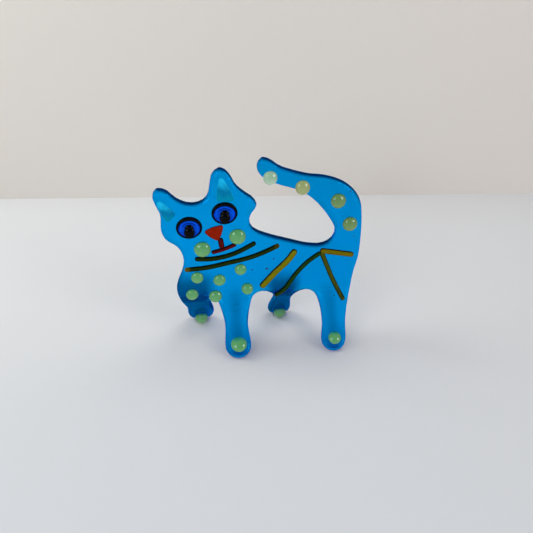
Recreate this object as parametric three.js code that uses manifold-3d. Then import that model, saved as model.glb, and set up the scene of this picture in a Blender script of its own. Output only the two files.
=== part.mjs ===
// Glass cat figure: one flat-cut sheet of transparent blue glass, kiln-slumped so that
// its four legs splay alternately backward and forward, with small pieces of coloured
// glass fused to its front face. Millimetres, +Z up, the cat faces -Y, head towards -X.
import * as THREE from 'three';
import { mergeVertices } from 'three/addons/utils/BufferGeometryUtils.js';
import Module from 'manifold-3d';

const wasm = await Module();
wasm.setup();

// ---- driving dimensions ----
const figureWidth = 95;          // left ear tip to rump
const bodyHeight = 65.5;         // fold line of the legs up to the top of the tail
const legHeight = 25;            // floor to the fold line of the legs
const sheetThickness = 4;        // blue sheet after firing
const edgeRound = 1.5;           // how far the fire-polished edge is rounded in
const edgeFlat = 0.5;            // unrounded band along the middle of the edge
const foldLength = 12;           // length of sheet that curves at each fold
const farSplay = THREE.MathUtils.degToRad(44);   // legs slumped backward, +Y
const nearSplay = THREE.MathUtils.degToRad(37);  // legs slumped forward, -Y
const footGrind = 0.3;           // ground off each paw so that it stands flat
const seatGap = 0.3;             // clearance under each fused piece
const sideGap = 0.15;            // clearance between an iris and its rim

// ---- decoration sizes ----
const dotRise = 0.7;             // height of a melted dot for each unit of its radius
const dotFootAngle = THREE.MathUtils.degToRad(25);  // how far a dot rounds in to its foot
const floorGap = 0.3;            // clearance between the floor and a dot on an underside
const stringerHeight = 1.4;
const stringerRound = 0.55;
const inlayHeight = 1.0;
const inlayRound = 0.4;
const inlayCorner = 1.2;
const noseHeight = 1.2;
const noseRound = 0.45;
const noseCorner = 0.9;
const eyeWidth = 11.4;
const eyeHeight = 10.4;
const eyeRimHeight = 1.0;
const eyeRimSide = 0.65;         // wall of the black rim at its sides
const eyeRimTop = 1.4;           // and at its heavier top
const eyeRimBottom = 0.5;
const eyeRimRound = 0.15;
const irisHeight = 1.1;
const irisRound = 0.3;
const pupilWidth = 4.9;
const pupilHeight = 6.3;
const pupilRise = 1.2;
const collarWidth = 1.9;
const mouthWidth = 1.4;
const philtrumWidth = 1.7;
const cheekDiameters = { left: 7.6, right: 7.5 };

// ---- clearances between neighbouring pieces ----
const eyeGap = 0.3;              // from an eye rim to the ear inlay above and the nose below
const mouthGap = 0.15;           // from the mouth to the cheek dot at its end
const philtrumGap = 0.25;        // from the philtrum to the mouth
const cheekGap = 0.65;           // from the left cheek dot to the collar below it

// ---- mesh fineness ----
const outlineStep = 2.5;
const foldStep = 3.2;
const stringerStep = 3.0;
const dotSides = 16;
const ellipseSides = 24;
const dotRings = 4;

// ---- the cutting pattern ----
// The body is drawn at this size; heights are measured up from the fold line.
const drawnWidth = 95;
const drawnBodyHeight = 65.5;

const headSide = [
  [-37.4, -6.4], [-39.3, 3.6], [-38.4, 8.2], [-36.2, 13.5], [-35.3, 18.8], [-37.6, 24.9],
  [-43.0, 29.0], [-44.7, 33.5], [-44.5, 40.8],
];
const leftEar = [[-46.3, 45.2], [-47.4, 49.8], [-45.4, 53.1], [-41.6, 52.3], [-38.5, 49.4]];
const crown = [[-35.2, 47.0], [-31.0, 45.7], [-26.5, 46.4], [-23.4, 49.0]];
const rightEar = [[-22.2, 54.5], [-21.0, 59.0], [-17.4, 61.5], [-13.8, 58.8], [-11.0, 53.6]];
const cheekSide = [[-7.5, 50.3], [-3.0, 46.8], [-1.4, 43.0], [-3.9, 39.9], [-5.1, 36.2]];
const back = [[-3.6, 32.9], [-0.4, 30.8], [5.0, 28.6], [14.0, 25.8], [22.5, 23.4], [29.2, 23.0]];
const tailInner = [[33.6, 25.3], [35.3, 29.5], [32.8, 34.9], [26.0, 43.5], [18.5, 49.2],
  [9.0, 52.5], [2.2, 55.5]];
const tailTip = [[-0.9, 59.0], [-1.2, 62.6], [1.2, 65.3], [4.8, 63.9]];
const tailOuter = [[8.5, 61.2], [14.0, 59.1], [21.5, 57.0], [29.5, 55.9], [37.0, 53.3],
  [43.0, 48.7], [46.4, 43.0], [47.4, 36.0]];
const rump = [[47.6, 24.0], [47.0, 15.5], [45.2, 8.0], [43.7, 0.0], [41.8, -7.1]];

// Legs from the head end: centre of the paw, its radius, and the shank above it,
// whose place is measured down from the fold line.
const legs = [
  { name: 'fore_far', far: true, x: -28.2, paw: 6.2, shankX: -28.7, shankHalf: 6.3, shankDrop: 16 },
  { name: 'fore_near', far: false, x: -12.4, paw: 6.0, shankX: -12.5, shankHalf: 5.3, shankDrop: 14.5 },
  { name: 'hind_far', far: true, x: 12.2, paw: 5.6, shankX: 11.8, shankHalf: 4.4, shankDrop: 11 },
  { name: 'hind_near', far: false, x: 33.0, paw: 5.8, shankX: 34.1, shankHalf: 5.6, shankDrop: 16 },
];

// Arches between neighbouring legs: centre, radius, and how far the crown of the arch
// lies below the fold line. Each arch widens upward into the web where the fold turns over.
const arches = [
  { x: -22.6, radius: 2.6, drop: 1.8 },
  { x: 0.8, radius: 6.4, drop: 0.1 },
  { x: 22.1, radius: 5.7, drop: 0.6 },
];
const webSpread = 0.6;

// ---- from the drawn pattern to the flat sheet ----
function alongSheet(x) {
  return x * figureWidth / drawnWidth;
}

function upSheet(height) {
  const scale = height > 0 ? bodyHeight / drawnBodyHeight : 1;
  return legHeight + height * scale;
}

function onPattern([x, height]) {
  return new THREE.Vector2(alongSheet(x), upSheet(height));
}

// A place on the sheet this far along and up from another.
function beside(place, alongBy, upBy) {
  return new THREE.Vector2(place.x + alongBy, place.y + upBy);
}

// ---- the folds ----
// Each fold is a circular arc of sheet between the upright body and a straight leg.
function foldOf(splay) {
  const radius = foldLength / splay;
  const start = legHeight + radius * Math.tan(splay / 2);
  const footRise = sheetThickness / 2 - footGrind;
  const straight = (legHeight - footRise) / Math.cos(splay) - radius * Math.tan(splay / 2);
  const tip = start - foldLength - straight - sheetThickness / 2;
  return { splay, radius, start, tip };
}

const farFold = foldOf(farSplay);
const nearFold = foldOf(nearSplay);

// Section of a folded leg: y and z of a point at this height on the flat sheet and this
// far behind the sheet's middle surface; side is 1 for backward and -1 for forward.
function foldedSection(fold, side, height, behind) {
  const run = Math.max(0, fold.start - height);
  const angle = Math.min(run, foldLength) / fold.radius;
  const beyond = Math.max(0, run - foldLength);
  const out = fold.radius * (1 - Math.cos(angle)) + beyond * Math.sin(fold.splay);
  const down = fold.radius * Math.sin(angle) + beyond * Math.cos(fold.splay);
  const top = Math.max(height, fold.start);
  return {
    y: side * out + behind * Math.cos(angle),
    z: top - down + side * behind * Math.sin(angle),
  };
}

// Left and right limits of the web at arch i, at a height on the flat sheet.
function webLimits(i, height) {
  const arch = archAt(i);
  const leftPaw = alongSheet(legs[i].x) + legs[i].paw;
  const rightPaw = alongSheet(legs[i + 1].x) - legs[i + 1].paw;
  const share = THREE.MathUtils.clamp(height / arch.height, 0, 1);
  const spread = webSpread * Math.max(0, height - arch.height);
  return {
    left: THREE.MathUtils.lerp(leftPaw, arch.x - arch.radius, share) - spread,
    right: THREE.MathUtils.lerp(rightPaw, arch.x + arch.radius, share) + spread,
  };
}

// 1 where the sheet folds backward, 0 where it folds forward.
function backwardShare(x, height) {
  let share = legs[0].far ? 1 : 0;
  arches.forEach((arch, i) => {
    const { left, right } = webLimits(i, height);
    const turn = THREE.MathUtils.smoothstep(x, left, right);
    share += legs[i + 1].far ? turn : -turn;
  });
  return share;
}

// Flat sheet to folded sheet. A point is (along, up, in front of the middle surface).
function foldPoint(point) {
  const share = backwardShare(point.x, point.y);
  const far = foldedSection(farFold, 1, point.y, -point.z);
  const near = foldedSection(nearFold, -1, point.y, -point.z);
  const y = THREE.MathUtils.lerp(near.y, far.y, share);
  const z = THREE.MathUtils.lerp(near.z, far.z, share);
  return point.set(point.x, y, z);
}

// ---- mesh helpers ----
function positionsOnly(geometry) {
  const bare = geometry.clone();
  bare.deleteAttribute('normal');
  bare.deleteAttribute('uv');
  return mergeVertices(bare, 1e-4);
}

function foldGeometry(geometry) {
  const place = geometry.getAttribute('position');
  const point = new THREE.Vector3();
  for (let i = 0; i < place.count; i += 1) {
    point.fromBufferAttribute(place, i);
    foldPoint(point);
    place.setXYZ(i, point.x, point.y, point.z);
  }
  geometry.computeVertexNormals();
  return geometry;
}

// Halves every edge longer than step wherever it runs through the folds, and shares
// each new corner between the triangles beside it, so that the skin stays closed.
function refineInFolds(geometry, step) {
  const lowest = Math.min(farFold.start, nearFold.start) - foldLength - 1;
  const highest = Math.max(farFold.start, nearFold.start) + 0.5;
  const points = [];
  const place = geometry.getAttribute('position');
  for (let i = 0; i < place.count; i += 1) {
    points.push(new THREE.Vector3().fromBufferAttribute(place, i));
  }
  let triangles = [];
  for (let i = 0; i < geometry.index.count; i += 3) {
    triangles.push([0, 1, 2].map((k) => geometry.index.getX(i + k)));
  }
  for (let round = 0; round < 9; round += 1) {
    const middles = new Map();
    const middleOf = (a, b) => {
      const key = a < b ? `${a}_${b}` : `${b}_${a}`;
      if (!middles.has(key)) {
        const crosses = Math.min(points[a].y, points[b].y) < highest
          && Math.max(points[a].y, points[b].y) > lowest;
        const long = points[a].distanceTo(points[b]) > step;
        if (crosses && long) {
          points.push(points[a].clone().lerp(points[b], 0.5));
          middles.set(key, points.length - 1);
        } else {
          middles.set(key, -1);
        }
      }
      return middles.get(key);
    };
    const next = [];
    for (const [a, b, c] of triangles) {
      next.push(...splitTriangle(points, a, b, c, middleOf(a, b), middleOf(b, c), middleOf(c, a)));
    }
    const settled = next.length === triangles.length;
    triangles = next;
    if (settled) break;
  }
  const refined = new THREE.BufferGeometry().setFromPoints(points);
  refined.setIndex(triangles.flat());
  return refined;
}

function splitTriangle(points, a, b, c, ab, bc, ca) {
  const cuts = [ab, bc, ca].filter((cut) => cut >= 0).length;
  if (cuts === 0) return [[a, b, c]];
  if (cuts === 3) return [[a, ab, ca], [ab, b, bc], [ca, bc, c], [ab, bc, ca]];
  if (cuts === 1) {
    if (ab >= 0) return [[a, ab, c], [ab, b, c]];
    if (bc >= 0) return [[b, bc, a], [bc, c, a]];
    return [[c, ca, b], [ca, a, b]];
  }
  if (ab < 0) return splitTriangle(points, c, a, b, ca, ab, bc);
  if (ca < 0) return splitTriangle(points, b, c, a, bc, ca, ab);
  // ab and ca are cut: the corner at a, and the four-sided rest split along its short diagonal
  const first = points[ab].distanceTo(points[c]) < points[ca].distanceTo(points[b]);
  const rest = first ? [[ab, b, c], [ab, c, ca]] : [[ab, b, ca], [b, c, ca]];
  return [[a, ab, ca], ...rest];
}

function toSolid(geometry) {
  const merged = positionsOnly(geometry);
  const vertProperties = new Float32Array(merged.getAttribute('position').array);
  const triVerts = new Uint32Array(merged.index.array);
  return new wasm.Manifold(new wasm.Mesh({ numProp: 3, vertProperties, triVerts }));
}

function fromSolid(solid) {
  const { vertProperties, triVerts } = solid.getMesh();
  const geometry = new THREE.BufferGeometry();
  geometry.setAttribute('position', new THREE.BufferAttribute(vertProperties, 3));
  geometry.setIndex(new THREE.BufferAttribute(triVerts, 1));
  geometry.computeVertexNormals();
  return geometry;
}

// ---- outline of the sheet ----
function archAt(i) {
  const { x, radius, drop } = arches[i];
  return { x: alongSheet(x), radius, height: legHeight - drop - radius };
}

function arcPoints(x, height, radius, fromDegrees, toDegrees, count) {
  return Array.from({ length: count }, (_, i) => {
    const angle = THREE.MathUtils.degToRad(
      THREE.MathUtils.lerp(fromDegrees, toDegrees, i / (count - 1)));
    return new THREE.Vector2(x + radius * Math.cos(angle), height + radius * Math.sin(angle));
  });
}

// Down the right side of a leg, round its paw and up the left side.
function legPoints(leg) {
  const fold = leg.far ? farFold : nearFold;
  const shank = legHeight - leg.shankDrop;
  const x = alongSheet(leg.x);
  return [
    new THREE.Vector2(alongSheet(leg.shankX) + leg.shankHalf, shank),
    ...arcPoints(x, fold.tip + leg.paw, leg.paw, -8, -172, 7),
    new THREE.Vector2(alongSheet(leg.shankX) - leg.shankHalf, shank),
  ];
}

// Over an arch from its right side to its left.
function archPoints(i) {
  const { x, radius, height } = archAt(i);
  return arcPoints(x, height, radius, 0, 180, 5);
}

function sheetOutline() {
  const [foreFar, foreNear, hindFar, hindNear] = legs;
  const clockwise = [
    ...[...headSide, ...leftEar, ...crown, ...rightEar, ...cheekSide, ...back].map(onPattern),
    ...[...tailInner, ...tailTip, ...tailOuter, ...rump].map(onPattern),
    ...legPoints(hindNear), ...archPoints(2),
    ...legPoints(hindFar), ...archPoints(1),
    ...legPoints(foreNear), ...archPoints(0),
    ...legPoints(foreFar),
  ];
  const corners = clockwise.map((corner) => new THREE.Vector3(corner.x, corner.y, 0));
  const curve = new THREE.CatmullRomCurve3(corners, true, 'centripetal');
  curve.arcLengthDivisions = 2000;
  const count = Math.round(curve.getLength() / outlineStep);
  const spaced = curve.getSpacedPoints(count).slice(0, -1);
  return new THREE.Shape(spaced.map((point) => new THREE.Vector2(point.x, point.y)));
}

// ---- body ----
function bodyGeometry() {
  const edgeDepth = (sheetThickness - edgeFlat) / 2;
  const flat = new THREE.ExtrudeGeometry(sheetOutline(), {
    depth: edgeFlat,
    bevelThickness: edgeDepth,
    bevelSize: edgeRound,
    bevelOffset: -edgeRound,
    bevelSegments: 3,
    steps: 1,
  });
  flat.translate(0, 0, edgeDepth - sheetThickness / 2);
  const folded = foldGeometry(refineInFolds(positionsOnly(flat), foldStep));
  const groundDepth = sheetThickness;
  const ground = new THREE.BoxGeometry(3 * figureWidth, 3 * figureWidth, groundDepth);
  ground.translate(0, 0, -groundDepth / 2);
  return fromSolid(toSolid(folded).subtract(toSolid(ground)));
}

// ---- pieces fused to the front ----
// Each is modelled flat, standing on z = 0, then moved in front of the sheet and folded with it.
function fuse(geometry, lift = 0) {
  const placed = positionsOnly(geometry);
  placed.translate(0, 0, sheetThickness / 2 + seatGap + lift);
  return foldGeometry(refineInFolds(placed, foldStep));
}

// A bead of glass that has slumped round: widest a little above its foot.
function dotGeometry(centre, diameter, stretch = 1, rise = dotRise * diameter / 2) {
  const radius = diameter / 2;
  const halfRise = rise / (1 + Math.sin(dotFootAngle));
  const profile = [new THREE.Vector2(0, 0), new THREE.Vector2(radius * 0.45, 0)];
  for (let i = 0; i <= dotRings; i += 1) {
    const angle = THREE.MathUtils.lerp(-dotFootAngle, Math.PI / 2, i / dotRings);
    const reach = i === dotRings ? 0 : radius * Math.cos(angle);
    profile.push(new THREE.Vector2(reach, halfRise * (Math.sin(angle) + Math.sin(dotFootAngle))));
  }
  const dot = new THREE.LatheGeometry(profile, dotSides);
  dot.rotateX(Math.PI / 2);
  dot.scale(1, stretch, 1);
  dot.translate(centre.x, centre.y, 0);
  return dot;
}

// How far up from the tip of a backward leg a dot on its underside just clears the floor.
function clearOfFloor(diameter) {
  const halfRise = dotRise * diameter / 2 / (1 + Math.sin(dotFootAngle));
  const sine = Math.sin(farSplay);
  const cosine = Math.cos(farSplay);
  const footRise = sheetThickness / 2 - footGrind;
  const middleDepth = sheetThickness / 2 + seatGap + halfRise * Math.sin(dotFootAngle);
  const reach = Math.hypot(sine * halfRise, cosine * diameter / 2);
  return sheetThickness / 2 + (floorGap - footRise + sine * middleDepth + reach) / cosine;
}

// A length of glass rod laid on the sheet, melted to a rounded ridge with round ends.
function stringerGeometry(course, width, height = stringerHeight) {
  const corners = course.map((corner) => new THREE.Vector3(corner.x, corner.y, 0));
  const curve = new THREE.CatmullRomCurve3(corners, false, 'centripetal');
  const count = Math.max(2, Math.round(curve.getLength() / stringerStep));
  const half = width / 2;
  const rightSide = [];
  const leftSide = [];
  for (let i = 0; i <= count; i += 1) {
    const centre = curve.getPointAt(i / count);
    const heading = curve.getTangentAt(i / count);
    rightSide.push(new THREE.Vector2(centre.x + heading.y * half, centre.y - heading.x * half));
    leftSide.unshift(new THREE.Vector2(centre.x - heading.y * half, centre.y + heading.x * half));
  }
  const endCap = (at, direction) => {
    const centre = curve.getPointAt(at);
    const heading = curve.getTangentAt(at);
    const turn = Math.atan2(heading.y * direction, heading.x * direction);
    return [-60, -30, 0, 30, 60].map((degrees) => {
      const angle = turn + THREE.MathUtils.degToRad(degrees);
      return new THREE.Vector2(centre.x + half * Math.cos(angle), centre.y + half * Math.sin(angle));
    });
  };
  const outline = [...rightSide, ...endCap(1, 1), ...leftSide, ...endCap(0, -1)];
  return padGeometry(new THREE.Shape(outline), height, stringerRound);
}

// A flat-backed piece of glass of any outline with softened edges.
function padGeometry(shape, height, round, roundSteps = 2) {
  const pad = new THREE.ExtrudeGeometry(shape, {
    depth: height - 2 * round,
    bevelThickness: round,
    bevelSize: round,
    bevelOffset: -round,
    bevelSegments: roundSteps,
  });
  pad.translate(0, 0, round);
  return pad;
}

// A cut polygon whose corners have melted round; its corners run counter-clockwise.
function meltedPolygon(corners, radius) {
  const outline = corners.flatMap((corner, i) => {
    const before = corners.at(i - 1).clone().sub(corner).normalize();
    const after = corners[(i + 1) % corners.length].clone().sub(corner).normalize();
    const inward = before.add(after).normalize();
    const halfAngle = Math.acos(inward.dot(after));
    const centre = corner.clone().addScaledVector(inward, radius / Math.sin(halfAngle));
    const middle = THREE.MathUtils.radToDeg(Math.atan2(-inward.y, -inward.x));
    const sweep = 90 - THREE.MathUtils.radToDeg(halfAngle);
    return arcPoints(centre.x, centre.y, radius, middle - sweep, middle + sweep, 6);
  });
  return new THREE.Shape(outline);
}

function ellipsePath(Path, centre, halfWidth, halfHeight) {
  return new Path(Array.from({ length: ellipseSides }, (_, i) => {
    const angle = 2 * Math.PI * i / ellipseSides;
    const x = centre.x + halfWidth * Math.cos(angle);
    const y = centre.y + halfHeight * Math.sin(angle);
    return new THREE.Vector2(x, y);
  }));
}

// Rim, iris and pupil share one centre; the hole of the rim sits low, under its heavy top.
const irisHalfWidth = eyeWidth / 2 - eyeRimSide;
const irisHalfHeight = (eyeHeight - eyeRimTop - eyeRimBottom) / 2;
const irisDrop = (eyeRimTop - eyeRimBottom) / 2;

function eyeRimGeometry(centre) {
  const shape = ellipsePath(THREE.Shape, centre, eyeWidth / 2, eyeHeight / 2);
  const low = beside(centre, 0, -irisDrop);
  shape.holes.push(ellipsePath(THREE.Path, low, irisHalfWidth, irisHalfHeight));
  return padGeometry(shape, eyeRimHeight, eyeRimRound, 1);
}

function irisGeometry(centre) {
  const low = beside(centre, 0, -irisDrop);
  const shape = ellipsePath(THREE.Shape, low, irisHalfWidth - sideGap, irisHalfHeight - sideGap);
  return padGeometry(shape, irisHeight, irisRound);
}

function pupilGeometry(centre) {
  const stretch = pupilHeight / pupilWidth;
  const pupil = dotGeometry(centre, pupilWidth, stretch, pupilRise);
  const lowest = irisDrop + irisHalfHeight - irisRound - pupilHeight / 2;
  pupil.translate(0, -lowest, 0);
  return pupil;
}

// ---- materials ----
function glass(colour, roughness) {
  return new THREE.MeshStandardMaterial({ color: colour, roughness, metalness: 0 });
}

const blueSheet = glass(0x0a86d6, 0.08);
const turquoise = glass(0x12a9c8, 0.12);
const mint = glass(0x7dbb84, 0.2);
const paleMint = glass(0xb4d6c4, 0.2);
const sage = glass(0x96a868, 0.2);
const black = glass(0x07070c, 0.1);
const cobalt = glass(0x0b47e0, 0.1);
const orangeRed = glass(0xb02c0e, 0.15);
const darkRed = glass(0x66141a, 0.15);
const darkGreen = glass(0x2c3f0a, 0.15);
const olive = glass(0x6e6a06, 0.15);

// ---- assembly ----
const figure = new THREE.Group();

function addPiece(name, geometry, material) {
  const mesh = new THREE.Mesh(geometry, material);
  mesh.name = name;
  figure.add(mesh);
}

addPiece('cat_body_sheet', bodyGeometry(), blueSheet);

const eyes = { left: onPattern([-32.2, 35.0]), right: onPattern([-16.2, 41.1]) };
for (const [side, centre] of Object.entries(eyes)) {
  addPiece(`eye_rim_${side}`, fuse(eyeRimGeometry(centre)), black);
  addPiece(`iris_${side}`, fuse(irisGeometry(centre)), cobalt);
  addPiece(`pupil_${side}`, fuse(pupilGeometry(centre), irisHeight + sideGap), black);
}

// The right inlay stands on the rim of the eye below it.
const rimTop = beside(eyes.right, 0, eyeHeight / 2 + eyeGap);
const earInlays = {
  left: [[-47.6, 51.2], [-41.9, 37.6], [-37.7, 41.6]].map(onPattern),
  right: [onPattern([-17.8, 59.8]), beside(rimTop, -3.4, 0.2), beside(rimTop, 4.7, 0)],
};
for (const [side, corners] of Object.entries(earInlays)) {
  const shape = meltedPolygon(corners, inlayCorner);
  addPiece(`ear_inlay_${side}`, fuse(padGeometry(shape, inlayHeight, inlayRound)), turquoise);
}

// The nose hangs from the rim of the right eye, the philtrum from the nose down to the mouth.
const noseTop = beside(eyes.right, -0.2, -eyeHeight / 2 - eyeGap);
const noseTip = onPattern([-19.3, 27.6]);
const noseShape = meltedPolygon([onPattern([-25.6, 32.4]), noseTip, noseTop], noseCorner);
addPiece('nose', fuse(padGeometry(noseShape, noseHeight, noseRound)), orangeRed);

const cheekRight = onPattern([-10.8, 30.0]);
const mouthMiddle = onPattern([-16.9, 23.6]);
const mouthEnd = beside(cheekRight, -1.4, -(cheekDiameters.right + mouthWidth) / 2 - mouthGap);
const mouthCourse = [onPattern([-21.8, 22.4]), mouthMiddle, mouthEnd];
addPiece('mouth', fuse(stringerGeometry(mouthCourse, mouthWidth)), darkRed);

const philtrumEnd = beside(mouthMiddle, -1.0, (mouthWidth + philtrumWidth) / 2 + philtrumGap);
const philtrumCourse = [beside(noseTip, 1.1, 0), philtrumEnd];
addPiece('philtrum', fuse(stringerGeometry(philtrumCourse, philtrumWidth)), darkRed);

const stringers = [
  ['collar_upper', collarWidth, darkGreen,
    [[-29.3, 19.4], [-22.0, 19.1], [-13.9, 20.6], [-8.4, 22.8], [-3.3, 25.5]]],
  ['collar_lower', collarWidth, darkGreen,
    [[-34.2, 14.3], [-25.5, 14.8], [-15.3, 16.6], [-5.1, 18.7], [1.8, 21.1], [7.6, 23.7]]],
  ['flank_stripe_front', 2.6, olive, [[0.9, 4.0], [7.3, 11.0], [12.8, 16.3], [15.5, 20.1]]],
  ['flank_stripe_rear', 1.9, darkGreen,
    [[7.8, -1.6], [11.7, 2.0], [16.4, 8.7], [21.9, 14.6], [27.0, 18.2]]],
  ['haunch_stripe_upper', 2.2, olive, [[30.6, 20.0], [42.9, 17.4]]],
  ['haunch_stripe_leg', 1.9, olive, [[29.5, 17.3], [34.3, 5.5], [39.0, -6.6]]],
];
for (const [name, width, material, course] of stringers) {
  addPiece(name, fuse(stringerGeometry(course.map(onPattern), width)), material);
}

// Centre of a dot that keeps a gap above (side 1) or below (side -1) a place on a collar.
function byCollar(place, diameter, gap, side) {
  return beside(onPattern(place), 0, side * ((collarWidth + diameter) / 2 + gap));
}

const dots = [
  ['cheek_dot_left', byCollar([-26.8, 19.3], cheekDiameters.left, cheekGap, 1),
    cheekDiameters.left, mint],
  ['cheek_dot_right', cheekRight, cheekDiameters.right, mint],
  ['chest_dot_1', byCollar([-29.7, 14.5], 5.7, 0.3, -1), 5.7, mint],
  ['chest_dot_2', onPattern([-19.5, 8.5]), 5.8, mint],
  ['chest_dot_3', byCollar([-9.6, 17.75], 5.7, 0.65, -1), 5.7, mint],
  ['chest_dot_4', onPattern([-32.4, 2.0]), 5.8, mint],
  ['chest_dot_5', onPattern([-21.6, -0.2]), 6.1, mint],
  ['chest_dot_6', onPattern([-6.6, 2.6]), 5.7, mint],
  ['tail_dot_1', onPattern([4.2, 56.7]), 6.4, paleMint],
  ['tail_dot_2', onPattern([18.7, 51.7]), 6.7, sage],
  ['tail_dot_3', onPattern([35.2, 44.7]), 7.1, mint],
  ['tail_dot_4', onPattern([41.2, 33.3]), 7.0, mint],
];
for (const [name, centre, diameter, material] of dots) {
  addPiece(name, fuse(dotGeometry(centre, diameter)), material);
}

// Paw dots sit over the middle of each paw. On the legs that slope backward they are on
// the underside, so they are set further up where they would otherwise reach the floor.
const pawDotDiameters = [6.6, 7.2, 6.2, 6.0];
legs.forEach((leg, i) => {
  const fold = leg.far ? farFold : nearFold;
  const diameter = pawDotDiameters[i];
  const fromTip = leg.far ? Math.max(leg.paw, clearOfFloor(diameter)) : leg.paw;
  const centre = new THREE.Vector2(alongSheet(leg.x), fold.tip + fromTip);
  addPiece(`paw_dot_${leg.name}`, fuse(dotGeometry(centre, diameter)), mint);
});

// The origin is under the middle of the figure, on the floor.
const extent = new THREE.Box3().setFromObject(figure);
const middle = extent.getCenter(new THREE.Vector3());
figure.position.set(-middle.x, -middle.y, 0);
figure.updateMatrixWorld(true);

export default figure;
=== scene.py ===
import math
import random

import bpy
from mathutils import Matrix, Vector


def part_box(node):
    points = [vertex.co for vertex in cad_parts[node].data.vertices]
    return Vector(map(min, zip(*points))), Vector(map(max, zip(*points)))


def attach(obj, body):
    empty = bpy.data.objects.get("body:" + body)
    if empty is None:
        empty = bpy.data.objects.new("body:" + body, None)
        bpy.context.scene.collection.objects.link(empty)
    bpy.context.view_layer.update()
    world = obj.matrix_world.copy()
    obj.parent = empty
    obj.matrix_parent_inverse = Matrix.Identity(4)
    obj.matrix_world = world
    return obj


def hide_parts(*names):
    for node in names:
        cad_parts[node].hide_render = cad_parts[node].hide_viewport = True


# A free-standing cat of kiln-formed glass. One sheet of transparent blue glass is cut to the
# cat's outline and fire-polished, its legs slump alternately backward and forward, and beads,
# rods and cut pieces of coloured glass are tack-fused to its front face. Everything is in
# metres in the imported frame: +Z up, the cat faces -Y with its head towards -X.
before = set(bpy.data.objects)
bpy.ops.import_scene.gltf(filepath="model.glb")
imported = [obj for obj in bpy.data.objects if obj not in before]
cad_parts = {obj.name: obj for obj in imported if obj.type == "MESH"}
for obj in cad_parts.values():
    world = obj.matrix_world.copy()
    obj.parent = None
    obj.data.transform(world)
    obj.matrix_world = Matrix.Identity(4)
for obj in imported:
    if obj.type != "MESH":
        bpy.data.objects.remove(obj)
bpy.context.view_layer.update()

MM = 0.001

# ---- sizes; the sheet's front and the body's top are read from the frame ----
SEAT_GAP = 0.3 * MM                  # clearance that the frame keeps under each fused piece
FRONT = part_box("eye_rim_left")[1].y + SEAT_GAP   # y of the sheet's front face
SHEET = 4.0 * MM                     # thickness of the blue sheet
MIDDLE = FRONT + SHEET / 2
NEAR_SPLAY = math.radians(37)        # slope of the legs that slump forward
FAR_SPLAY = math.radians(-44)        # slope of the legs that slump backward
BODY_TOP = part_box("cat_body_sheet")[1].z

def middle_x(node):
    low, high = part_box(node)
    return (low.x + high.x) / 2


# ---- where painted shade darkens the blue, and where the sheet has creased at a fold ----
# a far leg's fold is its middle, half its width and its top
FAR_FOLDS = [(middle_x("paw_dot_fore_far") - 4 * MM, 13 * MM, 39 * MM),
             (middle_x("paw_dot_hind_far") - 1 * MM, 10 * MM, 37 * MM)]
NEAR_LEGS = [middle_x("paw_dot_fore_near"), middle_x("paw_dot_hind_near")]
# a crease is its middle, its height above the floor and half its width
CREASES = [(NEAR_LEGS[0] + 1.5 * MM, 23.4 * MM, 5.5 * MM),
           (NEAR_LEGS[0] + 0.5 * MM, 19.2 * MM, 2.5 * MM),
           (NEAR_LEGS[1] - 1.5 * MM, 24.0 * MM, 4.5 * MM)]
FAR_LEG_SHADE = 0.66                     # how much painted shade a slumped far leg gets, to 1
NEAR_LEG_SHADE = 0.3                     # the same for the core of a near leg

# ---- how the glass has melted ----
CREASE_REACH = 0.32 * MM             # half the height of a crease's line
CREASE_SHADE = 0.13                  # painted shade along it, to 1
BODY_GRAIN = 0.38 * MM               # mesh size of the blue sheet
BODY_POLISH = 12                     # rounds of fire polish on it
BODY_SWELL = 0.14 * MM               # surface tension lost by the polish, given back
WAVE_HEIGHT = 0.16 * MM              # slow unevenness of the slumped sheet
WAVE_LENGTH = 13 * MM
SINK = 0.18 * MM                     # how far a fused piece has sunk into the sheet
BEAD_RISE = 0.7                      # height of a bead for each unit of its radius
FLOOR_GAP = 0.15 * MM                # room kept between a low bead and the floor
BEAD_FOOT = math.radians(25)         # how far a bead rounds in to its foot


# ---------------------------------------------------------------- making meshes

def deselect_all():
    if bpy.context.mode != "OBJECT":
        bpy.ops.object.mode_set(mode="OBJECT")
    bpy.ops.object.select_all(action="DESELECT")


def take(piece):
    """Makes one piece the selected and active one."""
    deselect_all()
    piece.hide_set(False)
    piece.select_set(True)
    bpy.context.view_layer.objects.active = piece


def apply_modifier(piece, kind, **settings):
    take(piece)
    modifier = piece.modifiers.new(kind.lower(), kind)
    for name, value in settings.items():
        setattr(modifier, name, value)
    bpy.ops.object.modifier_apply(modifier=modifier.name)


def merged_copy(node, name):
    """A welded copy of a frame solid, to start a finer piece from."""
    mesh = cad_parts[node].data.copy()
    mesh.name = name
    mesh.materials.clear()
    piece = bpy.data.objects.new(name, mesh)
    bpy.context.scene.collection.objects.link(piece)
    take(piece)
    bpy.ops.object.mode_set(mode="EDIT")
    bpy.ops.mesh.select_all(action="SELECT")
    bpy.ops.mesh.remove_doubles(threshold=0.002 * MM)
    bpy.ops.mesh.normals_make_consistent(inside=False)
    bpy.ops.object.mode_set(mode="OBJECT")
    return piece


def remelt(piece, grain, rounds):
    """Heals a piece into one even skin and lets heat round its corners."""
    apply_modifier(piece, "REMESH", mode="VOXEL", voxel_size=grain)
    apply_modifier(piece, "SMOOTH", factor=0.5, iterations=rounds)


def smooth_shading(piece):
    take(piece)
    bpy.ops.object.shade_smooth()


def move_mesh(piece, step):
    take(piece)
    bpy.ops.object.mode_set(mode="EDIT")
    bpy.ops.mesh.select_all(action="SELECT")
    bpy.ops.transform.translate(value=step)
    bpy.ops.object.mode_set(mode="OBJECT")


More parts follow.
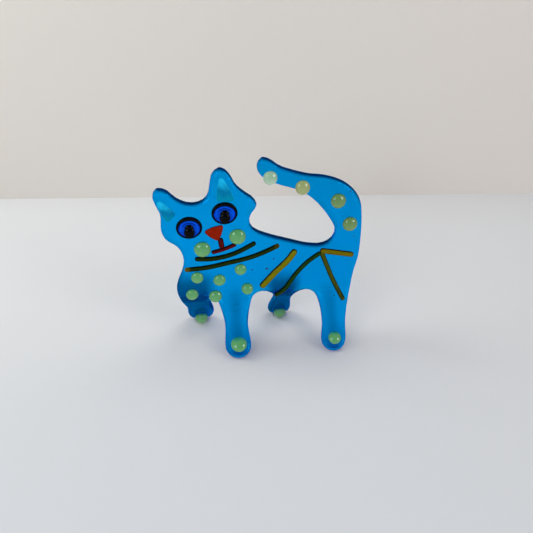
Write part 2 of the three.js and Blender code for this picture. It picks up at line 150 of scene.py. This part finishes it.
def fit(piece, low, high):
    """Stretches a piece to fill a box again after it has shrunk in the heat."""
    corners = [Vector(corner) for corner in (piece.bound_box[0], piece.bound_box[6])]
    middle = (corners[0] + corners[1]) / 2
    size = corners[1] - corners[0]
    wanted = high - low
    take(piece)
    bpy.ops.object.mode_set(mode="EDIT")
    bpy.ops.mesh.select_all(action="SELECT")
    bpy.ops.transform.resize(value=tuple(w / s for w, s in zip(wanted, size)),
                             center_override=tuple(middle))
    bpy.ops.transform.translate(value=(low + high) / 2 - middle)
    bpy.ops.object.mode_set(mode="OBJECT")


def hand_over(piece, nodes, material):
    """Gives a finished piece its glass, its body and the frame solids it stands for."""
    piece.data.materials.clear()
    piece.data.materials.append(material)
    smooth_shading(piece)
    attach(piece, "root")
    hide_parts(*nodes)


# ---------------------------------------------------------------- materials

def linear(code):
    """Linear colour from an sRGB hex code."""
    parts = [((code >> shift) & 255) / 255 for shift in (16, 8, 0)]
    return [p / 12.92 if p <= 0.04045 else ((p + 0.055) / 1.055) ** 2.4 for p in parts] + [1.0]


def add(tree, kind, sockets=None, **settings):
    """Adds a node, with its settings, and each socket given a value or the output it reads."""
    made = tree.nodes.new("ShaderNode" + kind)
    for name, value in settings.items():
        setattr(made, name, value)
    for name, value in (sockets or {}).items():
        if isinstance(value, bpy.types.NodeSocket):
            tree.links.new(value, made.inputs[name])
        else:
            made.inputs[name].default_value = value
    return made


def new_glass(name):
    """An empty material with a Principled shader on its output."""
    material = bpy.data.materials.new(name)
    material.use_nodes = True
    tree = material.node_tree
    tree.nodes.clear()
    shader = add(tree, "BsdfPrincipled")
    add(tree, "OutputMaterial", {"Surface": shader.outputs[0]})
    return material, tree, shader


def mottling(tree, size, detail=2.0):
    """Soft noise on the piece's own coordinates, with patches of this size."""
    place = add(tree, "TexCoord").outputs["Object"]
    return add(tree, "TexNoise", {"Vector": place, "Scale": 1 / size, "Detail": detail,
                                  "Roughness": 0.5}).outputs[0]


def share(tree, value, low, high, to_low=0.0, to_high=1.0):
    """Value from low to high brought smoothly to a new range."""
    return add(tree, "MapRange", {"Value": value, "From Min": low, "From Max": high,
                                  "To Min": to_low, "To Max": to_high},
               interpolation_type="SMOOTHSTEP").outputs[0]


def blend_colours(tree, factor, first, second):
    node = tree.nodes.new("ShaderNodeMix")
    node.data_type = "RGBA"
    for index, value in ((0, factor), (6, first), (7, second)):
        if isinstance(value, bpy.types.NodeSocket):
            tree.links.new(value, node.inputs[index])
        else:
            node.inputs[index].default_value = value
    return node.outputs[2]


def facing_out(tree):
    """1 on the crown of a fused piece, falling to 0 where its side drops to the sheet."""
    normal = add(tree, "NewGeometry").outputs["Normal"]
    y = add(tree, "SeparateXYZ", {"Vector": normal}).outputs["Y"]
    return add(tree, "Math", {0: y, 1: -1.0}, operation="MULTIPLY").outputs[0]


def crease(tree, x, z, half_width):
    """Painted shade along a short, wavering line where the sheet has wrinkled as it bent."""
    place = add(tree, "TexCoord").outputs["Object"]
    z_here = add(tree, "SeparateXYZ", {"Vector": place}).outputs["Z"]
    waver = share(tree, mottling(tree, 3 * MM, 1.0), 0.2, 0.8, -0.4 * MM, 0.4 * MM)
    height = add(tree, "Math", {0: z_here, 1: waver}, operation="ADD").outputs[0]
    level = add(tree, "Math", {0: height, 1: z, 2: CREASE_REACH}, operation="COMPARE").outputs[0]
    fade = share(tree, away_from(tree, "X", x), half_width * 0.5, half_width, CREASE_SHADE, 0.0)
    return add(tree, "Math", {0: level, 1: fade}, operation="MULTIPLY").outputs[0]


def blue_sheet_glass():
    """Transparent art glass, rolled, cut and fire-polished: clear and wet-looking in front,
    and faintly frosted on the face that lay on the kiln shelf. Its colour is in its depth.
    A stored mask of painted shade takes it to navy at top edges, in slumped legs and in the
    cores of near legs, and each crease adds a faint painted shade line. The coat bends no light:
    it only tints what leaves the glass blue."""
    material, tree, shader = new_glass("blue_rolled_glass_fire_polished")
    shelf_side = add(tree, "Attribute", attribute_name="shelf_side").outputs["Fac"]
    frost = share(tree, shelf_side, 0.0, 1.0, 0.05, 0.34)
    paper = share(tree, mottling(tree, 1.2 * MM, 4.0), 0.2, 0.8, 0.8, 1.2)
    rough = add(tree, "Math", {0: frost, 1: paper}, operation="MULTIPLY").outputs[0]
    tree.links.new(rough, shader.inputs["Roughness"])
    shade_mask = add(tree, "Attribute", attribute_name="painted_navy_shade").outputs["Fac"]
    # each crease adds a line of painted shade to the mask
    for x, z, half_width in CREASES:
        line = crease(tree, x, z, half_width)
        shade_mask = add(tree, "Math", {0: shade_mask, 1: line}, operation="ADD", use_clamp=True).outputs[0]
    cloud = share(tree, mottling(tree, 9 * MM, 2.0), 0.25, 0.75, 0.90, 1.0)
    pale = blend_colours(tree, cloud, linear(0xD2ECFF), linear(0xF4FCFF))
    # painted shade: where the mask is high, the base colour goes to navy and the reflection is
    # turned down
    tint = blend_colours(tree, shade_mask, pale, linear(0x001634))
    tree.links.new(tint, shader.inputs["Base Color"])
    gloss = share(tree, shade_mask, 0.0, 0.5, 0.3, 0.0)
    tree.links.new(gloss, shader.inputs["Specular IOR Level"])
    shader.inputs["Transmission Weight"].default_value = 1.0
    shader.inputs["IOR"].default_value = 1.5
    shader.inputs["Specular Tint"].default_value = (0.05, 0.5, 1.0, 1.0)
    shader.inputs["Coat Weight"].default_value = 1.0
    shader.inputs["Coat IOR"].default_value = 1.0
    shader.inputs["Coat Tint"].default_value = (0.12, 0.87, 1.0, 1.0)
    ripple = mottling(tree, 5 * MM, 1.0)
    bump = add(tree, "Bump", {"Height": ripple, "Strength": 0.22, "Distance": 0.2 * MM})
    tree.links.new(bump.outputs[0], shader.inputs["Normal"])
    depth = add(tree, "VolumeAbsorption", {"Density": 2200.0})
    depth.inputs["Color"].default_value = (0.0, 0.932, 0.996, 1.0)
    output = next(n for n in tree.nodes if n.type == "OUTPUT_MATERIAL")
    tree.links.new(depth.outputs[0], output.inputs["Volume"])
    return material


def opal_glass(name, body, under, over):
    """Opal glass, chopped from rod and melted to a bead: milky right through. Its underside is
    painted paler, as painted light glowing through it, and its top edge is painted a darker
    teal, as painted shade taking the blue of the sheet behind it."""
    material, tree, shader = new_glass(name)
    normal = add(tree, "NewGeometry").outputs["Normal"]
    up = add(tree, "SeparateXYZ", {"Vector": normal}).outputs["Z"]
    streaks = share(tree, mottling(tree, 2.2 * MM, 3.0), 0.2, 0.8, -0.07, 0.07)
    up = add(tree, "Math", {0: up, 1: streaks}, operation="ADD").outputs[0]
    # painted light and shade: paler colour on the underside, teal at the top, set by which way
    # the surface faces
    colour = blend_colours(tree, share(tree, up, -0.75, 0.15), linear(under), linear(body))
    colour = blend_colours(tree, share(tree, up, 0.64, 0.97), colour, linear(over))
    tree.links.new(colour, shader.inputs["Base Color"])
    skin = share(tree, mottling(tree, 0.7 * MM, 2.0), 0.3, 0.7, 0.09, 0.14)
    tree.links.new(skin, shader.inputs["Roughness"])
    shader.inputs["IOR"].default_value = 1.5
    shader.inputs["Subsurface Weight"].default_value = 0.2
    shader.inputs["Subsurface Radius"].default_value = (1.0, 1.4, 1.0)
    shader.inputs["Subsurface Scale"].default_value = 0.5 * MM
    return material


def away_from(tree, axis, place):
    """Distance along one of the piece's own axes from a place on it."""
    own = add(tree, "TexCoord").outputs["Object"]
    along = add(tree, "SeparateXYZ", {"Vector": own}).outputs[axis]
    away = add(tree, "Math", {0: along, 1: place}, operation="SUBTRACT").outputs[0]
    return add(tree, "Math", {0: away}, operation="ABSOLUTE").outputs[0]


def rod_end(tree, x, reach):
    """1 at the end of a rod, at x, falling to 0 this far along it."""
    return share(tree, away_from(tree, "X", x), reach * 0.4, reach, 1.0, 0.0)


def rod_glass(name, crown, side, ends=()):
    """Thin rod of dense transparent glass melted to a ridge: its crown is painted lighter and
    its sides painted dark, as painted light and shade. Thinned ends turn amber."""
    material, tree, shader = new_glass(name)
    out = facing_out(tree)
    streaks = share(tree, mottling(tree, 1.5 * MM, 3.0), 0.2, 0.8, -0.12, 0.12)
    lit = add(tree, "Math", {0: out, 1: streaks}, operation="ADD").outputs[0]
    # painted light and shade: lighter crown, darker sides, set by how squarely the surface faces
    # out
    colour = blend_colours(tree, share(tree, lit, 0.62, 1.02), linear(side), linear(crown))
    for tint, x, reach in ends:
        colour = blend_colours(tree, rod_end(tree, x, reach), colour, linear(tint))
    tree.links.new(colour, shader.inputs["Base Color"])
    skin = share(tree, mottling(tree, 0.8 * MM, 2.0), 0.3, 0.7, 0.12, 0.22)
    tree.links.new(skin, shader.inputs["Roughness"])
    shader.inputs["IOR"].default_value = 1.5
    shader.inputs["Specular IOR Level"].default_value = 0.05
    return material


def plate_glass(name, tip, middle, base, low, high):
    """A cut piece of sheet glass with fire-rounded edges: its colour is painted paler towards
    its top, as painted light, and its rim takes the pale tip colour as a painted highlight where
    the edge slopes away."""
    material, tree, shader = new_glass(name)
    place = add(tree, "TexCoord").outputs["Object"]
    height = add(tree, "SeparateXYZ", {"Vector": place}).outputs["Z"]
    up = share(tree, height, low.z, high.z)
    cloud = share(tree, mottling(tree, 2.5 * MM, 2.0), 0.3, 0.7, -0.12, 0.12)
    up = add(tree, "Math", {0: up, 1: cloud}, operation="ADD", use_clamp=True).outputs[0]
    # painted light: the colour pales towards the top
    colour = blend_colours(tree, share(tree, up, 0.0, 0.4), linear(base), linear(middle))
    colour = blend_colours(tree, share(tree, up, 0.3, 1.2), colour, linear(tip))
    # painted highlight: the sloping rim takes the pale tip colour
    rim = share(tree, facing_out(tree), 0.4, 0.9, 0.8, 0.0)
    colour = blend_colours(tree, rim, colour, linear(tip))
    tree.links.new(colour, shader.inputs["Base Color"])
    shader.inputs["IOR"].default_value = 1.5
    shader.inputs["Specular IOR Level"].default_value = 0.03
    skin = share(tree, mottling(tree, 0.8 * MM, 2.0), 0.3, 0.7, 0.10, 0.18)
    tree.links.new(skin, shader.inputs["Roughness"])
    return material


def black_glass():
    """Opaque black glass, melted glossy: only its highlights show its shape."""
    material, tree, shader = new_glass("black_glass_fire_polished")
    tint = share(tree, mottling(tree, 1.5 * MM, 2.0), 0.3, 0.7)
    colour = blend_colours(tree, tint, linear(0x010101), linear(0x030304))
    tree.links.new(colour, shader.inputs["Base Color"])
    skin = share(tree, mottling(tree, 0.8 * MM, 2.0), 0.3, 0.7, 0.04, 0.08)
    tree.links.new(skin, shader.inputs["Roughness"])
    shader.inputs["IOR"].default_value = 1.5
    shader.inputs["Specular IOR Level"].default_value = 0.08
    return material


def iris_glass(side):
    """Cobalt glass plate in the ring of an eye: bright in the middle and nearly navy at its
    rim, with a darker arc over the pupil where two chips of it have run together."""
    material, tree, shader = new_glass(f"cobalt_glass_{side}_iris")
    low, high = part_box(f"iris_{side}")
    centre = (low + high) / 2
    half = (high - low) / 2
    place = add(tree, "TexCoord").outputs["Object"]
    local = add(tree, "Mapping", {"Vector": place, "Location": tuple(-centre)})
    flat = add(tree, "VectorMath", {0: local.outputs[0], 1: (1 / half.x, 0.0, 1 / half.z)},
               operation="MULTIPLY").outputs[0]
    reach = add(tree, "VectorMath", {0: flat}, operation="LENGTH").outputs["Value"]
    arc_in, arc_out = (share(tree, reach, 0.58, 0.63), share(tree, reach, 0.72, 0.67))
    upper = add(tree, "SeparateXYZ", {"Vector": flat}).outputs["Z"]
    arc = add(tree, "Math", {0: arc_in, 1: arc_out}, operation="MULTIPLY").outputs[0]
    arc = add(tree, "Math", {0: arc, 1: share(tree, upper, 0.1, 0.45)},
              operation="MULTIPLY").outputs[0]
    wisp = share(tree, mottling(tree, 1.3 * MM, 3.0), 0.3, 0.7, -0.06, 0.06)
    reach = add(tree, "Math", {0: reach, 1: wisp}, operation="ADD").outputs[0]
    colour = blend_colours(tree, share(tree, reach, 0.82, 1.0), linear(0x0050DC),
                           linear(0x0026A0))
    colour = blend_colours(tree, arc, colour, linear(0x001468))
    tree.links.new(colour, shader.inputs["Base Color"])
    shader.inputs["Roughness"].default_value = 0.12
    shader.inputs["IOR"].default_value = 1.5
    shader.inputs["Specular IOR Level"].default_value = 0.03
    return material


# ---------------------------------------------------------------- the blue sheet

def ramp(value, low, high):
    """0 below low, 1 above high and smooth between, in either order."""
    part = min(max((value - low) / (high - low), 0.0), 1.0)
    return part * part * (3 - 2 * part)


def painted_navy_shade(place, normal):
    """How much painted shade a place gets: edges that face up and a little to the right, the
    slumped far legs and the folds above them, and the cores of near legs."""
    # painted shade on edges facing upward, on the far legs and in the near-leg cores
    edge = ramp(normal.dot(Vector((0.33, 0.0, 0.944))), 0.05, 0.72)
    edge *= 1.0 - ramp(place.z, 34 * MM, 24 * MM)
    most_shade = edge
    for x, width, top in FAR_FOLDS:
        across = ramp(abs(place.x - x), width, width * 0.4)
        down = ramp(place.z, top, top - 9 * MM)
        most_shade = max(most_shade, FAR_LEG_SHADE * across * down)
    for x in NEAR_LEGS:
        across = ramp(abs(place.x - x), 4.5 * MM, 0.5 * MM)
        down = ramp(place.z, 30 * MM, 18 * MM) * ramp(place.z, 2 * MM, 8 * MM)
        most_shade = max(most_shade, NEAR_LEG_SHADE * across * down)
    return most_shade


def mark_glass(piece):
    """Stores, for each place on the skin, how squarely it faces back to the kiln shelf and how
    much painted shade it gets."""
    mesh = piece.data
    shelf = mesh.attributes.new("shelf_side", "FLOAT", "POINT")
    shelf.data.foreach_set("value", [ramp(v.normal.y, 0.0, 0.6) for v in mesh.vertices])
    shade_mask = mesh.attributes.new("painted_navy_shade", "FLOAT", "POINT")
    shade_mask.data.foreach_set("value", [painted_navy_shade(v.co, v.normal) for v in mesh.vertices])


def flatten_feet(piece):
    """Presses whatever has swollen below the floor back up to it, as flat soles."""
    take(piece)
    bpy.ops.object.mode_set(mode="EDIT")
    bpy.ops.mesh.select_mode(type="VERT")
    bpy.ops.mesh.select_all(action="DESELECT")
    bpy.ops.object.mode_set(mode="OBJECT")
    for vertex in piece.data.vertices:
        vertex.select = vertex.co.z < 0.0
    bpy.ops.object.mode_set(mode="EDIT")
    bpy.ops.transform.resize(value=(1, 1, 0), center_override=(0, 0, 0))
    bpy.ops.object.mode_set(mode="OBJECT")


def make_body(material):
    piece = merged_copy("cat_body_sheet", "blue_glass_cat")
    remelt(piece, BODY_GRAIN, BODY_POLISH)
    waves = bpy.data.textures.new("slumped_unevenness", "CLOUDS")
    waves.noise_scale = WAVE_LENGTH
    waves.noise_depth = 1
    apply_modifier(piece, "DISPLACE", texture=waves, texture_coords="LOCAL",
                   strength=WAVE_HEIGHT, mid_level=0.5 - BODY_SWELL / WAVE_HEIGHT)
    apply_modifier(piece, "SMOOTH", factor=0.5, iterations=3)
    flatten_feet(piece)
    mark_glass(piece)
    hand_over(piece, ["cat_body_sheet"], material)


# ---------------------------------------------------------------- beads

def make_first_bead():
    """A bead of unit radius standing on z = 0: a ball flattened by its own weight, widest a
    little above its foot."""
    deselect_all()
    bpy.ops.mesh.primitive_uv_sphere_add(segments=40, ring_count=24, radius=1.0)
    bead = bpy.context.object
    bead.name = "first_bead"
    foot = -math.sin(BEAD_FOOT)
    bpy.ops.object.mode_set(mode="EDIT")
    bpy.ops.mesh.select_all(action="SELECT")
    bpy.ops.mesh.bisect(plane_co=(0, 0, foot), plane_no=(0, 0, 1), use_fill=True,
                        clear_inner=True)
    bpy.ops.mesh.select_all(action="SELECT")
    bpy.ops.transform.translate(value=(0, 0, -foot))
    bpy.ops.transform.resize(value=(1, 1, BEAD_RISE / (1 - foot)))
    bpy.ops.mesh.select_all(action="DESELECT")
    bpy.ops.object.mode_set(mode="OBJECT")
    for polygon in bead.data.polygons:
        polygon.select = len(polygon.vertices) > 4
    bpy.ops.object.mode_set(mode="EDIT")
    bpy.ops.mesh.select_mode(type="FACE")
    bpy.ops.mesh.inset(thickness=0.12)
    bpy.ops.mesh.inset(thickness=0.3)
    bpy.ops.object.mode_set(mode="OBJECT")
    apply_modifier(bead, "SUBSURF", levels=1, render_levels=1)
    return bead


def tilted(splay):
    """Turns +Z to the outward normal of the sheet: -Y on the body, sloped on a leg."""
    return Matrix.Rotation(math.radians(90) - splay, 4, "X")


def make_bead(first, node, material, splay=0.0, lean=0.0, rise=BEAD_RISE):
    """A copy of the first bead, melted a little unevenly, where the frame has this bead. It
    sits square on a leg of this splay, or leans by an angle where the sheet begins to bend;
    rise is its height for each unit of its radius."""
    low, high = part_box(node)
    radius = (high.x - low.x) / 2
    turned = tilted(splay + lean)
    outward = turned @ Vector((0, 0, 1))
    cad_height = min(BEAD_RISE * radius, high.y - low.y)
    foot = (low + high) / 2 - outward * (cad_height / 2 + SEAT_GAP + SINK)
    bead = bpy.data.objects.new(node.replace("dot", "bead"), first.data.copy())
    bpy.context.scene.collection.objects.link(bead)
    uneven = Matrix.Rotation(random.uniform(0, math.tau), 4, "Z") @ Matrix.Diagonal(
        (random.uniform(0.97, 1.02), random.uniform(0.98, 1.03), 1, 1))
    size = Matrix.Diagonal((radius, radius, radius * rise / BEAD_RISE, 1))
    bead.data.transform(Matrix.Translation(foot) @ turned @ size @ uneven)
    lowest = min(vertex.co.z for vertex in bead.data.vertices)
    if lowest < FLOOR_GAP:
        bead.data.transform(Matrix.Translation((0, 0, FLOOR_GAP - lowest)))
    hand_over(bead, [node], material)


# ---------------------------------------------------------------- rods and cut pieces

def make_melted(node, name, material, grain, rounds, bulge=0.0, grow=(0, 0, 0, 0),
                rise=0.0, fatten=0.0):
    """A fused piece on the body, grown from the frame's solid: its outline bulges as it
    melts. It may run on by so many millimetres to its left, right, foot and top, rise
    higher, and be fatter all round."""
    piece = merged_copy(node, name)
    remelt(piece, grain, rounds)
    if bulge:
        bpy.ops.object.mode_set(mode="EDIT")
        bpy.ops.mesh.select_all(action="SELECT")
        bpy.ops.transform.tosphere(value=bulge)
        bpy.ops.object.mode_set(mode="OBJECT")
    low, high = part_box(node)
    left, right, foot, top = (amount * MM for amount in grow)
    fit(piece, low - Vector((left, rise * MM, foot)), high + Vector((right, 0, top)))
    if fatten:
        bpy.ops.object.mode_set(mode="EDIT")
        bpy.ops.mesh.select_all(action="SELECT")
        bpy.ops.transform.shrink_fatten(value=fatten * MM)
        bpy.ops.object.mode_set(mode="OBJECT")
    move_mesh(piece, (0, SEAT_GAP + SINK, 0))
    hand_over(piece, [node], material)


def make_pupil(first, node, material):
    """A pupil of black glass, melted from two chips into one bead with a slight waist."""
    low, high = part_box(node)
    radius = (high.x - low.x) / 2
    height = high.y - low.y
    chips = []
    for size, lift in ((1.0, 0.0), (0.84, high.z - low.z - 1.84 * radius)):
        chip = bpy.data.objects.new(node, first.data.copy())
        bpy.context.scene.collection.objects.link(chip)
        foot = Vector(((low.x + high.x) / 2, high.y + SEAT_GAP + SINK, low.z + radius + lift))
        chip.data.transform(Matrix.Translation(foot) @ tilted(0.0) @ Matrix.Diagonal(
            (radius * size, radius * size, height * size / BEAD_RISE, 1)))
        chips.append(chip)
    take(chips[0])
    chips[1].select_set(True)
    bpy.ops.object.join()
    pupil = chips[0]
    pupil.name = f"{node}_bead"
    remelt(pupil, 0.11 * MM, 3)
    hand_over(pupil, [node], material)


def make_seeds(material):
    """Specks of kiln grit that have sunk into the face of the sheet."""
    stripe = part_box("flank_stripe_front")[0]
    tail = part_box("tail_dot_4")[1]
    seeds = [(stripe.x + 6.5 * MM, stripe.z + 14.5 * MM, 0.42),
             (stripe.x + 3.2 * MM, stripe.z + 9.6 * MM, 0.62),
             (stripe.x - 3.8 * MM, stripe.z + 9.4 * MM, 0.40),
             (tail.x - 3.6 * MM, tail.z + 11.4 * MM, 0.36),
             (tail.x - 0.8 * MM, tail.z - 10.4 * MM, 0.38),
             (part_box("paw_dot_hind_near")[1].x - 0.5 * MM, stripe.z - 7 * MM, 0.32)]
    specks = []
    for x, z, size in seeds:
        deselect_all()
        bpy.ops.mesh.primitive_ico_sphere_add(subdivisions=3, radius=size * MM)
        speck = bpy.context.object
        stretch = Matrix.Diagonal((random.uniform(1.0, 1.5), 0.45, random.uniform(0.7, 1.0), 1))
        speck.data.transform(Matrix.Translation((x, FRONT - 0.04 * MM, z)) @ stretch)
        specks.append(speck)
    take(specks[0])
    for speck in specks:
        speck.select_set(True)
    bpy.ops.object.join()
    grit = specks[0]
    grit.name = "kiln_grit_specks"
    apply_modifier(grit, "SMOOTH", factor=0.5, iterations=2)
    grit.data.materials.append(material)
    smooth_shading(grit)
    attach(grit, "root")


random.seed(7)
make_body(blue_sheet_glass())

# each bead glass: its own colour, its painted paler underside and its painted teal top edge
mint = opal_glass("mint_opal_glass_melted_bead", 0x5CA062, 0x7CB670, 0x168878)
pale_mint = opal_glass("pale_mint_opal_glass_melted_bead", 0x98B898, 0xC4D8C0, 0x6A9C96)
sage = opal_glass("sage_opal_glass_melted_bead", 0x98A46A, 0xB0B47E, 0x4E8062)
moss = opal_glass("moss_opal_glass_melted_bead", 0x688A50, 0x84A262, 0x267260)
black = black_glass()

make_seeds(opal_glass("kiln_grit_sunk_in_glass", 0x04406C, 0x04406C, 0x04406C))

first_bead = make_first_bead()
LEANS = {"chest_dot_4": -3, "chest_dot_5": 8, "chest_dot_6": 16}
for node in ["cheek_dot_left", "cheek_dot_right", *[f"chest_dot_{i}" for i in range(1, 7)]]:
    lean = math.radians(LEANS.get(node, 0))
    make_bead(first_bead, node, mint, lean=lean)
for node in ["tail_dot_3", "tail_dot_4"]:
    make_bead(first_bead, node, moss)
make_bead(first_bead, "tail_dot_1", pale_mint)
make_bead(first_bead, "tail_dot_2", sage)
for leg in ("fore_near", "hind_near"):
    make_bead(first_bead, f"paw_dot_{leg}", mint, NEAR_SPLAY)
for leg in ("fore_far", "hind_far"):
    make_bead(first_bead, f"paw_dot_{leg}", mint, FAR_SPLAY,
              lean=math.radians(12), rise=1.05)

for side in ("left", "right"):
    make_melted(f"eye_rim_{side}", f"eye_ring_{side}", black, 0.12 * MM, 3,
                grow=(0, 0, 0, -0.4), fatten=0.2)
    make_melted(f"iris_{side}", f"iris_plate_{side}", iris_glass(side),
                0.16 * MM, 6, grow=(0, 0, 0.1, -0.5))
    make_pupil(first_bead, f"pupil_{side}", black)
bpy.data.objects.remove(first_bead)

for side in ("left", "right"):
    # ear plate glass: the pale tip colour of painted light, the middle colour and the base
    # colour
    inlay = plate_glass(f"turquoise_glass_{side}_ear_plate", 0x1CBEEE, 0x0074A2, 0x0088AA,
                        *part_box(f"ear_inlay_{side}"))
    make_melted(f"ear_inlay_{side}", f"ear_plate_{side}", inlay,
                0.16 * MM, 10, bulge=0.1, grow=(0.2, 0.3, 0.3, 0.3), rise=0.25)

# nose and mouth: the crown colour, then the darker side colour of painted shade
nose = rod_glass("orange_red_glass_nose_plate", 0x8E1C02, 0x200201)
make_melted("nose", "nose_plate", nose, 0.15 * MM, 6, bulge=0.3,
            grow=(0.7, 0.0, 0.0, 0.5), rise=0.7)
dark_red = rod_glass("dark_red_glass_melted_rod", 0x560A0C, 0x0C0203)
make_melted("mouth", "mouth_rod", dark_red, 0.14 * MM, 6,
            fatten=0.25)
make_melted("philtrum", "philtrum_rod", dark_red, 0.14 * MM, 6,
            grow=(0.25, 0.05, 0.3, 0.5), fatten=0.3)

AMBER, DARK_AMBER = 0x5A4C02, 0x3E3802
# each rod: its node, its glass, its crown colour, its side colour of painted shade, its end
# tints, its growth and how much fatter it is
RODS = [
    ("collar_upper", "dark_green_glass", 0x1A2802, 0x040800, [], (0, 0, 0, 0), 0.17),
    ("collar_lower", "dark_green_glass", 0x1E2C02, 0x040800, [AMBER, DARK_AMBER],
     (0, 0, 0, 0), 0.17),
    ("flank_stripe_front", "olive_glass", 0x787202, 0x1C2400, [], (0, 0, 0, 0), 0.25),
    ("flank_stripe_rear", "dark_green_glass", 0x1A3A06, 0x040A00, [], (0, 0.4, 0, 0.4), 0.14),
    ("haunch_stripe_upper", "olive_glass", 0x6E6202, 0x221C00, [], (1.4, 0, 0, 0), 0.24),
    ("haunch_stripe_leg", "olive_glass", 0x464C04, 0x161600, [], (0.6, 0, 0, 1.3), 0.16),
]
for node, slot, crown, side, tints, grow, fatten in RODS:
    ends = [(tint, end.x, 3 * MM) for tint, end in zip(tints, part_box(node))]
    glass = rod_glass(f"{slot}_{node}_rod", crown, side, ends)
    make_melted(node, f"{node}_rod", glass, 0.18 * MM, 7, grow=grow, fatten=fatten)


# ---------------------------------------------------------------- stage, light and camera

FLOOR_SIZE = 3.0
BACKDROP_SIZE = (1.6, 0.012, 0.20)
BACKDROP_DISTANCE = 217 * MM         # behind the cat
BACKDROP_TURN = math.radians(-6)
CAMERA_AZIMUTH = math.radians(-8)    # from straight in front, towards -X
CAMERA_ELEVATION = math.radians(25)
CAMERA_DISTANCE = 303 * MM
CAMERA_ANGLE = math.radians(45)
CAMERA_TARGET = Vector((2.87 * MM, MIDDLE, 37.4 * MM))


def stage_material(name, colour):
    """Matt paper of the studio sweep: a plain pale surface with a faint fibre."""
    material, tree, shader = new_glass(name)
    fibre = share(tree, mottling(tree, 4 * MM, 4.0), 0.3, 0.7, 0.98, 1.0)
    shade = blend_colours(tree, fibre, linear(0xC8C8C8), linear(colour))
    tree.links.new(shade, shader.inputs["Base Color"])
    shader.inputs["Roughness"].default_value = 0.9
    shader.inputs["Specular IOR Level"].default_value = 0.2
    return material


def make_floor():
    deselect_all()
    bpy.ops.mesh.primitive_plane_add(size=FLOOR_SIZE, location=(0, 0, 0))
    floor = bpy.context.object
    floor.name = "floor"
    floor.data.materials.append(stage_material("floor_paper", 0xE0E0E2))


def make_backdrop():
    """A pale board standing behind the cat, nearly square to the camera's heading."""
    deselect_all()
    bpy.ops.mesh.primitive_cube_add(size=1.0)
    backdrop = bpy.context.object
    backdrop.name = "backdrop"
    backdrop.data.transform(Matrix.Rotation(BACKDROP_TURN, 4, "Z")
                            @ Matrix.Translation((0, BACKDROP_DISTANCE, BACKDROP_SIZE[2] / 2))
                            @ Matrix.Diagonal((*BACKDROP_SIZE, 1)))
    backdrop.data.materials.append(stage_material("backdrop_paper", 0xDCD6CE))


def make_softbox(name, towards, distance, size, power, colour, mirrored=True):
    """A square softbox in this direction from the cat, aimed at the middle of its body."""
    middle = Vector((0, MIDDLE, BODY_TOP / 2))
    light = bpy.data.lights.new(name, "AREA")
    light.size = size
    light.energy = power
    light.color = linear(colour)[:3]
    holder = bpy.data.objects.new(name, light)
    direction = Vector(towards).normalized()
    holder.location = middle + direction * distance
    holder.rotation_euler = direction.to_track_quat("Z", "Y").to_euler()
    holder.visible_camera = False
    holder.visible_glossy = mirrored
    bpy.context.scene.collection.objects.link(holder)


def make_world():
    world = bpy.data.worlds.new("studio_air")
    bpy.context.scene.world = world
    world.use_nodes = True
    tree = world.node_tree
    tree.nodes.clear()
    air = add(tree, "Background", {"Color": linear(0xC8D2DC), "Strength": 0.27})
    add(tree, "OutputWorld", {"Surface": air.outputs[0]})


def make_camera():
    data = bpy.data.cameras.new("camera")
    camera = bpy.data.objects.new("camera", data)
    bpy.context.scene.collection.objects.link(camera)
    data.angle = CAMERA_ANGLE
    level = math.cos(CAMERA_ELEVATION)
    back = Vector((math.sin(CAMERA_AZIMUTH) * level, -math.cos(CAMERA_AZIMUTH) * level,
                   math.sin(CAMERA_ELEVATION)))
    camera.location = CAMERA_TARGET + back * CAMERA_DISTANCE
    camera.rotation_euler = back.to_track_quat("Z", "Y").to_euler()
    data.clip_start, data.clip_end = 0.01, 10
    bpy.context.scene.camera = camera


make_floor()
make_backdrop()
make_world()
make_softbox("left_softbox", (-0.50, -0.84, 0.27), 0.7, 0.27, 1.4, 0xE6F1FF)
make_softbox("right_softbox", (0.68, -0.72, 0.24), 0.7, 0.27, 1.6, 0xFFFBFD)
make_softbox("fill_softbox", (-0.7, -1.0, 0.8), 1.2, 0.8, 2.6, 0xFFF8F2, mirrored=False)
make_softbox("top_softbox", (0.20, 0.22, 1.0), 0.70, 0.5, 0.63, 0xD3F9FF, mirrored=False)
make_softbox("shelf_softbox", (0.2, 0.12, 0.34), 0.42, 0.3, 0.33, 0xFFEDE2, mirrored=False)
make_softbox("shelf_left", (-0.35, 0.12, 0.34), 0.5, 0.3, 1.09, 0xFFFEF8, mirrored=False)
make_camera()
bpy.context.scene.view_settings.view_transform = "Standard"
